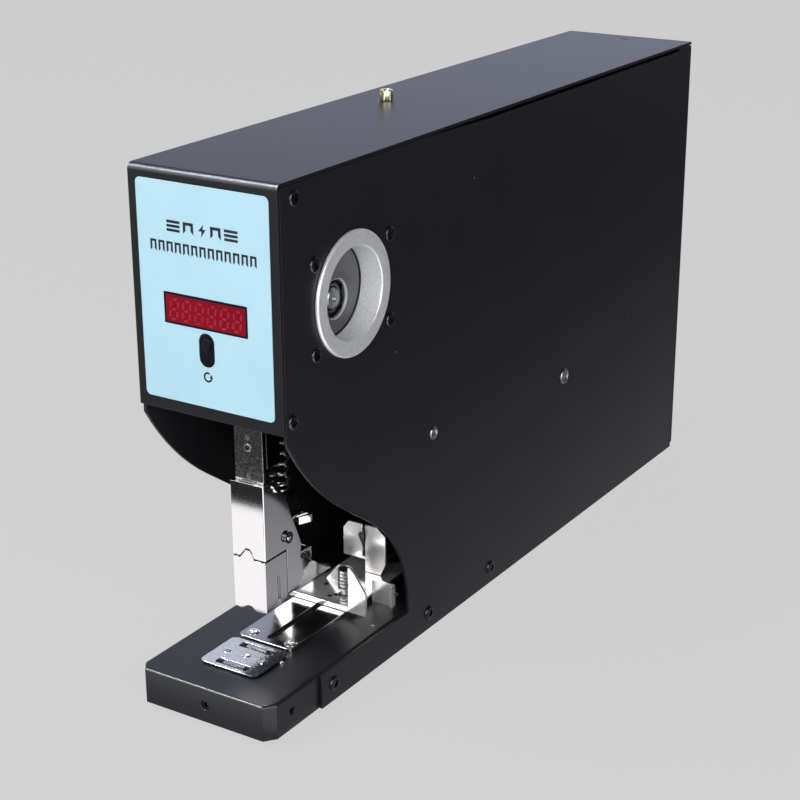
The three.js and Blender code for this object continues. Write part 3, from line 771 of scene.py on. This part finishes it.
def access_cup():
    """Turned cup with a wide flange, and an off-centre hole in its floor round the cam shaft. Its floor disc
    is a darkened copy of the aluminium as painted shade, its wall sleeve a lightened copy as painted light,
    and a black ring between them is painted shade.
    """
    low, high = node_box("shaft_access_cup")
    middle, shaft = node_middle("shaft_access_cup"), node_middle("cam_shaft")
    y, z = middle.y, middle.z
    sight = (shaft.y - y, shaft.z - z)
    flange, bore, wall, steps = (high.y - low.y) / 2, 21.8, 1.4, 128
    outside = bore + wall
    top = high.x - low.x
    floor = top - 12.4
    # local +Z is the machine's +X, local x is its y and local y its z
    place = Matrix(((0, 0, 1, low.x), (1, 0, 0, y), (0, 1, 0, z), (0, 0, 0, 1)))

    def ring(*profile):
        """Joins (radius, height) circles into a closed ring; a third value moves one off the axis."""
        loops = [circle(radius, level, steps, *centre) for radius, level, *centre in profile]
        return loft(loops, place, False)

    cup = ring(
        (9.2, 0, sight), (outside - 0.6, 0), (outside, 0.6), (outside, top - 1.45), (flange, top - 1.45),
        (flange, top - 0.75), (flange - 0.25, top - 0.35), (flange - 0.75, top - 0.02), (flange - 1.1, top),
        (bore + 0.75, top), (bore + 0.4, top - 0.08), (bore + 0.1, top - 0.4), (bore, top - 0.8),
        (bore - 0.15, floor + 0.9), (bore + 0.15, floor + 0.5), (bore + 0.15, floor - 0.35),
        (bore - 0.7, floor - 0.35), (bore - 0.9, floor + 0.15), (bore - 1.3, floor + 0.25),
        (9.8, floor + 0.1, sight), (9.4, floor, sight), (9.2, floor - 0.3, sight))
    piece("shaft_cup", "chassis", "cast_aluminium", cup, ["shaft_access_cup"])
    # painted shade on the cup's floor
    shaded_disc = ring((9.5, floor + 0.05, sight), (bore - 0.75, floor - 0.3), (bore - 0.85, floor + 0.3),
                (9.9, floor + 0.12, sight))
    piece("shaded_cup_disc", "chassis", "cast_aluminium", shaded_disc, material="painted_shade_aluminium")
    # painted light on the cup's wall
    lit_liner = ring((bore + 0.3, top - 0.9), (bore - 0.05, top - 0.9), (bore - 0.2, floor + 0.95),
                 (bore + 0.3, floor + 0.95))
    piece("lit_cup_sleeve", "chassis", "cast_aluminium", lit_liner, material="painted_light_aluminium")
    # painted shade: a black ring where the groove between floor and wall lies in shade
    shade_ring = ring((bore - 0.95, floor + 0.3), (bore - 0.95, floor + 0.45), (bore - 0.2, floor + 0.5),
                  (bore - 0.2, floor + 0.3))
    piece("cup_shade_ring", "chassis", "cast_aluminium", shade_ring, material="button_black")

    lip = turned([(9.1, 0), (9.1, 3.2), (8.9, 3.5), (8.7, 3.5), (8.5, 3.0), (8.5, 0)], 48,
                 X, low.x - 3.0, shaft.y, shaft.z, False)
    piece("shaft_bearing_lip", "chassis", "machined_steel", lip, material="dull_steel")


def shaft_end():
    """Cam shaft with a chamfered, centre-drilled end, and its chamfered hexagon nut."""
    low, high = node_box("cam_shaft")
    _, y, z = node_middle("cam_shaft")
    radius, length = (high.y - low.y) / 2, high.x - low.x
    shaft = turned([(radius - 0.5, 0), (radius, 0.5), (radius, length - 0.7), (radius - 0.7, length),
                    (1.5, length), (0.4, length - 1.5)], 48, X, low.x, y, z)
    piece("cam_shaft_bar", "cam_drive", "machined_steel", shaft, ["cam_shaft"], material="dull_steel")
    nut_low, nut_high = node_box("shaft_nut")
    depth = nut_high.x - nut_low.x
    flats = min(nut_high.z - nut_low.z, nut_high.y - nut_low.y)
    bore = [(radius + 0.7, depth), (radius + 0.2, depth - 0.5), (radius + 0.2, 0)]
    nut = loft([circle(flats * 0.49, 0, 48), polygon(6, flats, 0.5, 48), polygon(6, flats, depth - 0.5, 48),
                circle(flats * 0.49, depth, 48), *rings(bore, 48)],
               facing(X, nut_low.x, y, z, 90), False)
    piece("shaft_hex_nut", "cam_drive", "black_oxide_steel", nut, ["shaft_nut"])


# ---- springs ----


def coil(radius, wire, low, high, turns, place, steps=28):
    """Compression spring along local +Z with closed ends."""
    dead = 1.0
    live = turns - 2 * dead
    rise = (high - low - wire - 2 * dead * wire) / live
    loops = []
    for i in range(int(steps * turns) + 1):
        t = i / steps
        if t < dead:
            h = wire * t
        elif t > turns - dead:
            h = wire * dead + rise * live + wire * (t - (turns - dead))
        else:
            h = wire * dead + rise * (t - dead)
        a = 2 * math.pi * t
        out = Vector((math.cos(a), math.sin(a), 0))
        centre = out * radius + Vector((0, 0, low + wire / 2 + h))
        loops.append([centre + (out * math.cos(b) + Z * math.sin(b)) * wire / 2
                      for b in (2 * math.pi * k / 10 for k in range(10))])
    return loft(loops, place)


def springs():
    """Return spring behind the ram strip and the spring that pushes the staples forward."""
    low, high = node_box("ram_spring")
    y, wire = node_middle("ram_spring").y, 1.2
    radius = (high.x - low.x - wire) / 2
    ram = piece("ram_return_spring", "head", "machined_steel",
                coil(radius, wire, low.z, high.z, 13, facing(Z, 0, y, 0)), ["ram_spring"])
    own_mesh(ram)
    low, high = node_box("pusher_spring")
    z, wire = node_middle("pusher_spring").z, 0.8
    radius = (high.x - low.x - wire) / 2
    push = piece("staple_feed_spring", "head", "machined_steel",
                 coil(radius, wire, low.y, high.y, 7, facing(Y, 0, 0, z)), ["pusher_spring"])
    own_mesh(push)


# ---- ram and head details ----


def ram_details():
    """Clamp screw with its washer on the ram strip, and flush dowels above and below it."""
    face = node_box("ram_strip")[0].y
    x, z = -0.3, 122.6
    washer = turned([(1.9, 0), (1.9, 0.2), (1.7, 0.3), (1.2, 0.3), (1.2, 0)], 32, -Y, x, face, z, False)
    piece("ram_washer", "ram", "machined_steel", washer)
    screw = cross_screw(facing(-Y, x, face - 0.3, z, 20), 1.4, 0.6)
    piece("ram_screw", "ram", "black_oxide_steel", screw)
    for i, rise in enumerate((5, -14), 1):
        dowel = turned([(1.4, 0), (1.4, 0.03), (1.2, 0.06), (0.1, 0.06)], 24, -Y, x, face, z + rise)
        piece(f"ram_dowel_{i}", "ram", "machined_steel", dowel, material="dull_steel")


def head_details():
    """Pivot pin heads and the two rivets high on the right cheek."""
    low, high = node_box("head_pin")
    _, y, z = node_middle("head_pin")
    for side, x, axis in (("right", high.x, X), ("left", low.x, -X)):
        sink = turned([(2.9, -0.1), (2.9, 0.06), (2.0, 0.02), (2.0, -0.1)], 32, axis, x, y, z, False)
        piece(f"pin_sink_{side}", "head", "black_oxide_steel", sink, material="button_black")
        head = turned([(1.95, -1.3), (1.95, -0.5), (1.6, 0.1), (0.85, 0.3), (0.75, -0.5), (0.2, -0.6)], 32,
                      axis, x, y, z)
        piece(f"pin_head_{side}", "head", "nickel_plate", head)
    cheek = node_box("head_upper_cover")[1].x
    for i, (y, z, radius) in enumerate(((31.6, 103.2, 0.9), (33.6, 100.8, 1.3)), 1):
        dome = [(radius, 0), (radius, 0.2), (radius * 0.8, 0.6), (radius * 0.4, 0.8), (0.1, 0.85)]
        rivet = turned(dome, 20, X, cheek, y, z)
        piece(f"cheek_rivet_{i}", "head", "nickel_plate", rivet)


# ---- bed ----

BED = node_box("base_block")[1].z


def sloped_bar(x0, x1, y, half, low, high):
    """A bar along X with a 45 degree slope towards the front and a flat top behind it."""
    rise = high - low
    section = [(y - half, low), (y - half + rise, high), (y + half - 0.3, high), (y + half, low)]
    return loft([[Vector((x, v, w)) for v, w in section] for x in (x0, x1)])


def anvil():
    """Forming plate with two clincher pockets and three screws, and a pin on the bed; the plate's black lower
    layer and a black disc on the bed under its front are painted shadow.
    """
    low, high = node_box("anvil_plate")
    bottom, top = low.z, high.z
    pockets = [8.6, 27.0]
    holes = [rounded(-9.2, 9.6, y - 2.3, y + 2.3, 0.9, 3) for y in pockets]
    plate = slab(rounded(low.x, high.x, low.y, high.y, 3.2, 6), bottom + 0.8, top, holes)
    piece("anvil_top", "chassis", "nickel_plate", plate, ["anvil_plate"], 0.2, "anvil_steel")
    # painted shadow: the plate's lower layer is black, standing in for the shade under its edges
    shadow_layer = slab(rounded(low.x + 0.5, high.x - 0.5, low.y + 0.5, high.y - 0.5, 3, 4), bottom, bottom + 0.81)
    piece("anvil_shadow_layer", "chassis", "black_oxide_steel", shadow_layer, material="button_black")
    for i, y in enumerate(pockets, 1):
        bar = sloped_bar(-5.2, 6.6, y, 1.6, bottom + 0.2, top + 0.1)
        piece(f"staple_former_{i}", "chassis", "polished_steel", bar, material="nickel_plate")
    for i, (x, y) in enumerate(((-10.5, 18.1), (0.6, 18.5), (11, 17.8)), 1):
        screw = cross_screw(facing(Z, x, y, top - 0.05, 25 * i), 2.0, 0.35)
        piece(f"anvil_screw_{i}", "chassis", "nickel_plate", screw)
    pin = turned([(1.1, 0), (1.1, 0.8), (0.8, 1.1), (0.2, 1.2)], 20, Z, 17.9, 23, BED)
    piece("anvil_side_pin", "chassis", "nickel_plate", pin)
    # painted shadow: a thin black disc on the bed under the plate's front
    relief = turned([(3.3, 0), (3.3, 0.04), (0.1, 0.05)], 32, Z, -0.8, 4.4, BED)
    piece("anvil_shadow_disc", "chassis", "plastic_black", relief)


def rail_details():
    """The gauge rail's two front screws, and a black strip on its slot's floor as painted shade."""
    low, high = node_box("gauge_rail")
    places = [facing(Z, x, low.y + 5.4, high.z - 0.05, 30 + x) for x in (-10.4, 12)]
    row_of_screws("rail_screw", "chassis", "nickel_plate", cross_screw, places, 3.2, 0.45)
    slot = rounded(-1.7, 1.7, low.y + 5.2, node_box("gauge_carriage")[0].y - 1, 1.6)
    # painted shade: a black strip darkens the slot's floor
    shade = slab(slot, low.z + 0.02, low.z + 0.1)
    piece("rail_slot_shade_strip", "chassis", "plastic_black", shade, material="button_black")


def gauge_details():
    """Small screws of the back gauge, and its ribbed lock screw."""
    deck = 21.8
    places = [facing(Z, x, y, deck, 40 * x) for x, y in ((-8, 97.4), (1.3, 87.2), (3, 89.9), (-11, 112))]
    row_of_screws("gauge_screw", "gauge", "black_oxide_steel", cross_screw, places, 1.3, 0.4)

    low, high = node_box("gauge_lock_screw")
    x, y, _ = node_middle("gauge_lock_screw")
    radius, height = (high.x - low.x) / 2, high.z - low.z
    neck, root = radius - 1.2, radius - 0.6
    profile = [(radius, 0), (radius, 2.2), (neck, 2.8), (neck, 4.8)]
    ribs, first = 6, 5.0
    pitch = (height - first - 0.6) / ribs
    for i in range(ribs):
        foot = first + pitch * i
        profile += [(root, foot), (root, foot + 0.3), (radius, foot + 0.5), (radius, foot + pitch - 0.2)]
    profile += [(root, height - 0.3), (neck, height), (0.1, height)]
    screw = turned(profile, 48, Z, x, y, low.z)
    piece("gauge_thumb_screw", "gauge_lock", "machined_steel", screw, ["gauge_lock_screw"])


def base_details():
    """Set screws in the base's tapped holes and a small dowel near each edge of the bed."""
    low, high = node_box("base_block")
    front = turned([(2.3, 0), (2.3, 2.4), (2.0, 2.7), (1.3, 2.7), (1.2, 1.2), (0.2, 1.0)], 24,
                   -Y, 1.3, low.y + 3.4, 8.9)
    piece("base_front_set_screw", "chassis", "black_oxide_steel", front)
    for side, sign in (("right", 1), ("left", -1)):
        plug = turned([(1.9, 0), (1.9, 2.0), (1.6, 2.3), (1.1, 2.3), (1.0, 1.1), (0.2, 1.0)], 24,
                      X * sign, sign * (high.x - 2.9), 2.4, 9.3)
        piece(f"base_{side}_set_screw", "chassis", "black_oxide_steel", plug)
        dowel = turned([(1.0, 0), (1.0, 0.25), (0.7, 0.45), (0.2, 0.5)], 20, Z, sign * 33.4, 77.5, BED)
        piece(f"base_{side}_dowel", "chassis", "nickel_plate", dowel)


def top_plug():
    """Small blanking plug at the rear of the top cover."""
    top = node_box("front_top_cover")[1].z
    plug = turned([(2.3, 0), (2.3, 0.1), (2.0, 0.15), (0.2, 0.15)], 24, Z, 1.5, 403.5, top)
    piece("top_rear_plug", "chassis", "plastic_black", plug)


def brass_post():
    """Hexagonal brass spacer with a round collar and a tapped hole."""
    low, high = node_box("brass_post")
    x, y, _ = node_middle("brass_post")
    height = high.z - low.z
    across = min(high.x - low.x, high.y - low.y) * 0.98
    bore = [(1.6, height), (1.3, height - 0.3), (1.3, height - 3)]
    post = loft([circle(across * 0.47, 0, 48), polygon(6, across, 0.4, 48),
                 polygon(6, across, height - 0.5, 48), circle(across * 0.46, height, 48), *rings(bore, 48)],
                facing(Z, x, y, low.z, 10))
    piece("hex_post", "chassis", "brass", post, ["brass_post"])


# ---- back panel ----


def rear_details():
    """Panel screws, inlet pins, fuse cap and the pedal socket's nut."""
    panel = node_box("back_panel")[1].y
    places = [facing(Y, x, panel, z, 17 * i)
              for i, (x, z) in enumerate((x, z) for x in (-34.5, 34.5) for z in (8, 128, 246))]
    row_of_screws("panel_screw", "chassis", "black_oxide_steel", cross_screw, places, 2.6, 1.0)

    inlet_face = node_box("power_inlet")[1].y
    x, _, z = node_middle("power_inlet")
    pins = bmesh.new()
    for u, w in ((x - 7, z - 1.5), (x, z + 2.5), (x + 7, z - 1.5)):
        block(u - 1, u + 1, panel - 14.2, panel - 0.8, w - 2.2, w + 2.2, pins)
    piece("inlet_pins", "chassis", "nickel_plate", pins, bevel=0.3)
    ears = [facing(Y, u, inlet_face, z, 12) for u in (x - 14, x + 14)]
    row_of_screws("inlet_screw", "chassis", "nickel_plate", cross_screw, ears, 1.6, 0.5)

    x, _, z = node_middle("fuse_holder")
    depth = node_box("fuse_holder")[1].y - panel
    radius, flute, steps = 6, 0.35, 72

    def fluted(level):
        """A circle with every third part of it set back."""
        return [Vector((p.x * k, p.y * k, level)) for i, p in enumerate(circle(radius, level, steps))
                for k in [1 - flute / radius * (i % 6 < 2)]]

    body = [(5.8, -24), (5.8, 0.05), (8, 0.05), (8, 1.3), (7.6, 1.7), (radius + 0.3, 1.9)]
    crown = [(radius - 0.7, depth), (2.2, depth), (2.0, depth - 0.6)]
    cap = loft([*rings(body, steps), fluted(2.2), fluted(depth - 0.6), *rings(crown, steps)],
               facing(Y, x, panel, z))
    piece("fuse_cap", "chassis", "plastic_black", cap, ["fuse_holder"])

    x, _, z = node_middle("pedal_socket")
    depth = node_box("pedal_socket")[1].y - panel
    sleeve = [(6.6, depth - 0.5), (5, depth - 0.5), (4.7, depth), (3.4, depth), (3.1, depth - 0.4),
              (3.1, -10)]
    nut = loft([*rings([(5.8, -10), (5.8, 0.05)], 48), polygon(6, 14, 0.05, 48),
                polygon(6, 14, depth - 0.9, 48), *rings(sleeve, 48)], facing(Y, x, panel, z), False)
    piece("pedal_jack", "chassis", "nickel_plate", nut, ["pedal_socket"])


# ---- stage: floor, world, light and camera ----


def flat_object(name, corners):
    """An object with one face, its corners in metres."""
    mesh = bpy.data.meshes.new(name)
    mesh.from_pydata(corners, [], [(0, 1, 2, 3)])
    return add_object(name, mesh)


def floor():
    """Pale seamless floor: mostly even, with a faint shadow where the machine stands."""
    size = 30
    paper = flat_object("floor", rectangle(-size, size, -size, size, CAD_BOX[0].z))
    paint = Surface("floor_paper", (FLOOR_LIT,) * 3, 0.9)
    paint.vary_colour(paint.noise(3), (FLOOR_LIT * 1.01,) * 3)
    paint.set("Specular IOR Level", 0.0)
    paint.set("Emission Color", (PALE, PALE, PALE, 1))
    paint.set("Emission Strength", FLOOR_GLOW)
    paper.data.materials.append(paint.material)


def card(name, corners, colour, level, slope=(0, 0, 0), lowest=0.0, highest=5.0):
    """A reflector or flag beside the machine, seen only in glossy reflections.

    Its brightness at a point is level + slope . point, in metres, kept from lowest to highest.
    """
    sheet = flat_object(name, corners)
    for kind in ("camera", "diffuse", "transmission", "volume_scatter", "shadow"):
        setattr(sheet, f"visible_{kind}", False)
    material = bpy.data.materials.new(name)
    material.use_nodes = True
    tree = material.node_tree
    tree.nodes.clear()
    place = tree.nodes.new("ShaderNodeTexCoord").outputs["Object"]
    strength = node_maths(tree, "ADD", vector_maths(tree, "DOT_PRODUCT", place, slope), level)
    strength = node_maths(tree, "MAXIMUM", strength, lowest)
    strength = node_maths(tree, "MINIMUM", strength, highest)
    glow = tree.nodes.new("ShaderNodeEmission")
    feed(tree, glow.inputs, ((*colour, 1), strength))
    out = tree.nodes.new("ShaderNodeOutputMaterial")
    tree.links.new(glow.outputs[0], out.inputs["Surface"])
    sheet.data.materials.append(material)


def flat_card(name, x_range, y_range, height, *brightness, **limits):
    card(name, rectangle(*x_range, *y_range, height), *brightness, **limits)


def cards():
    """A bright table near the machine, a dark studio round it and two bluish glows."""
    low = CAD_BOX[0]
    white, cool = (1.0, 0.985, 1.0), (1.0, 1.0, 1.08)
    edge, near = low.y - 0.132, low.y - 0.018
    flat_card("table_front", (-0.9, 0.1), (edge, near), low.z + 0.002, white, 1.08)
    flat_card("table_near", (-0.9, 0.1), (near, low.y), low.z + 0.002, white, 0.36)
    flat_card("table_right", (0.13, 0.9), (-0.6, -0.08), low.z + 0.003, white, 1.7)
    flat_card("table_corner", (0.045, 0.13), (-0.6, -0.212), low.z + 0.003, white, 1.3)
    flat_card("dark_front", (-3.0, 3.0), (-3.0, edge), low.z + 0.001, cool, -0.39, (0, -1.1, 0), 0.0, 0.17)
    flat_card("dark_right", (0.041, 3.0), (low.y, 3.0), low.z + 0.001, cool, 0.40, (-1.4, 0.05, 0), 0.02)
    depth, left, right, high = 3.0, -3.0, 0.4, 3.2
    card("blue_glow", [(left, depth, 0), (right, depth, 0), (right, depth, high), (left, depth, high)],
         (0.84, 0.89, 1.14), 1.93, (0, 0, -0.84), 0.44)
    flat_card("bend_glow", (-1.0, -0.56), (-0.97, -0.53), 1.45, (0.86, 0.93, 1.08), 100.0, highest=100.0)


def world():
    """Dim studio, brighter and bluish behind the machine's left; flat and pale where the camera sees it."""
    sky = bpy.data.worlds.new("studio")
    sky.use_nodes = True
    tree = sky.node_tree
    tree.nodes.clear()
    direction = tree.nodes.new("ShaderNodeTexCoord").outputs["Generated"]
    brightest = Vector((-0.62, 0.76, 0.2)).normalized()
    nearness = vector_maths(tree, "DOT_PRODUCT", direction, brightest)
    share = tree.nodes.new("ShaderNodeMapRange")
    dim_until, bright_from = 0.4, 0.95
    feed(tree, share.inputs, (nearness, dim_until, bright_from))
    studio, wall = (tree.nodes.new("ShaderNodeBackground") for _ in range(2))
    tones = mix_colours(tree, share.outputs["Result"], (0.05, 0.05, 0.055), (0.46, 0.47, 0.50))
    tree.links.new(tones, studio.inputs["Color"])
    wall.inputs["Color"].default_value = (PALE, PALE, PALE, 1)
    seen = tree.nodes.new("ShaderNodeLightPath").outputs["Is Camera Ray"]
    choose = tree.nodes.new("ShaderNodeMixShader")
    feed(tree, choose.inputs, (seen, studio.outputs[0], wall.outputs[0]))
    out = tree.nodes.new("ShaderNodeOutputWorld")
    tree.links.new(choose.outputs[0], out.inputs["Surface"])
    bpy.context.scene.world = sky
    bpy.context.scene.view_settings.view_transform = "Standard"


def softbox(name, place, aim, size, power, colour=(1, 1, 1)):
    light = bpy.data.lights.new(name, "AREA")
    light.shape = "RECTANGLE"
    light.size, light.size_y = size
    light.energy = power
    light.color = colour
    lamp = add_object(name, light)
    lamp.location = place
    lamp.rotation_euler = (Vector(aim) - Vector(place)).to_track_quat("-Z", "Y").to_euler()


def lights():
    softbox("key", (-0.9, -1.9, 1.0), (0, -0.1, 0.15), (1.5, 1.2), 24)
    softbox("front_fill", (0.25, -1.6, 0.5), (0, -0.1, 0.08), (0.5, 0.4), 6)
    softbox("right_fill", (1.3, -0.9, 0.7), (0, -0.1, 0.15), (1.1, 1.1), 17)
    softbox("top", (-0.78, -0.75, 1.45), (0, -0.15, 0.25), (0.6, 0.6), 9, (0.90, 0.95, 1.0))


def camera():
    data = bpy.data.cameras.new("camera")
    data.sensor_width = 36
    data.lens = 81.53
    data.shift_x, data.shift_y = 0.0029, -0.0022
    data.clip_end = 50
    eye = add_object("camera", data)
    azimuth, elevation, roll = (math.radians(a) for a in (32.70, 20.47, -0.3))
    back = Vector((math.sin(azimuth) * math.cos(elevation), -math.cos(azimuth) * math.cos(elevation),
                   math.sin(elevation)))
    turn = (-back).to_track_quat("-Z", "Y").to_matrix().to_4x4() @ Matrix.Rotation(roll, 4, "Z")
    eye.matrix_world = Matrix.Translation((0.4725, -0.78396, 0.4361)) @ turn
    bpy.context.scene.camera = eye


for build in (camera, floor, world, cards, lights, dress_frame, side_screws, label, counter, reset_key,
              access_cup, shaft_end, springs, ram_details, head_details, anvil, rail_details,
              gauge_details, base_details, top_plug, brass_post, rear_details):
    build()
